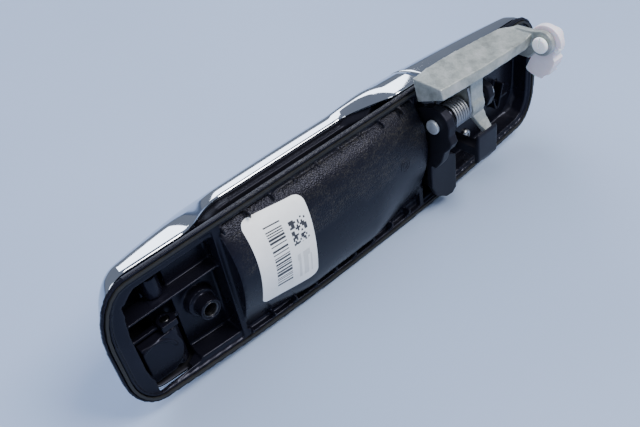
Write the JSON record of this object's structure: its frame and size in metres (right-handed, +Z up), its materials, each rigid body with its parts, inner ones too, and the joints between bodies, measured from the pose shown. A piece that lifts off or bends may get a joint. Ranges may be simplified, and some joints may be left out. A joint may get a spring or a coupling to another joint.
{
  "type": "car door handle",
  "caption": "Pull-type exterior car door handle with chrome grip and end cap, black housing, and latch lever with rod clip at the back.",
  "frame": {"origin": "centre of the rim's door-skin plane, midway along the handle's length", "axes": "+X along the handle towards the grip's hinge end, +Y into the door, +Z up"},
  "size_m": [0.262, 0.0789, 0.0804],
  "materials": {
    "black_plastic": "moulded, satin, textured on the back of the dome",
    "seal_rubber": "matt",
    "chrome_plate": "bright chrome plate on plastic",
    "insert_steel": "turned, blackened",
    "zinc_plated_steel": "zinc plated, dull",
    "cast_zinc": "as cast, light grey",
    "label_film": "white printed film",
    "ivory_nylon": "natural nylon",
    "white_nylon": "white, slightly translucent"
  },
  "bodies": {
    "housing": {"base_housing": "black_plastic", "rim_gasket": "seal_rubber", "threaded_insert": "insert_steel", "end_cap_shell": "chrome_plate", "end_cap_screw_1": "zinc_plated_steel", "end_cap_screw_2": "zinc_plated_steel", "grip_bumper_1": "seal_rubber", "grip_bumper_2": "seal_rubber", "part_label": "label_film", "hinge_pin_upper": "zinc_plated_steel", "hinge_pin_lower": "zinc_plated_steel", "mechanism_bracket": "black_plastic", "bracket_screw_1": "zinc_plated_steel", "bracket_screw_2": "zinc_plated_steel", "pivot_pin": "zinc_plated_steel", "pivot_pin_clip": "zinc_plated_steel", "spring_sleeve": "black_plastic", "return_spring": "zinc_plated_steel"},
    "grip": {"grip_shell": "chrome_plate", "grip_core": "black_plastic", "grip_hinge_foot": "black_plastic", "hinge_foot_screw_1": "zinc_plated_steel", "hinge_foot_screw_2": "zinc_plated_steel", "grip_tail_arm": "black_plastic", "tail_arm_screw_1": "zinc_plated_steel", "tail_arm_screw_2": "zinc_plated_steel"},
    "lever": {"bellcrank_lever": "cast_zinc", "lever_bush": "ivory_nylon", "clip_stem": "white_nylon"},
    "clip": {"rod_clip": "white_nylon", "rod_clip_gate": "white_nylon"}
  },
  "joints": [
    {"name": "grip_pull", "type": "hinge", "parent": "housing", "child": "grip", "pos_m": [0.104, -0.0095, 0], "axis": [0, 0, 1], "range_deg": [0, 5], "stiffness_Nm_per_rad": 6, "springref_deg": -5.16},
    {"name": "lever_turn", "type": "hinge", "parent": "housing", "child": "lever", "pos_m": [-0.0634, 0.009, 0.0182], "axis": [-1, 0, 0], "range_deg": [0, 60], "stiffness_Nm_per_rad": 0.06, "springref_deg": -34.38},
    {"name": "rod_clip_swivel", "type": "hinge", "parent": "lever", "child": "clip", "pos_m": [-0.1035, 0.0236, 0.0361], "axis": [1, 0, 0], "range_deg": [-20, 50]}
  ],
  "couplings": [
    {"joint": "lever_turn", "follows": "grip_pull", "ratio": 12}
  ]
}
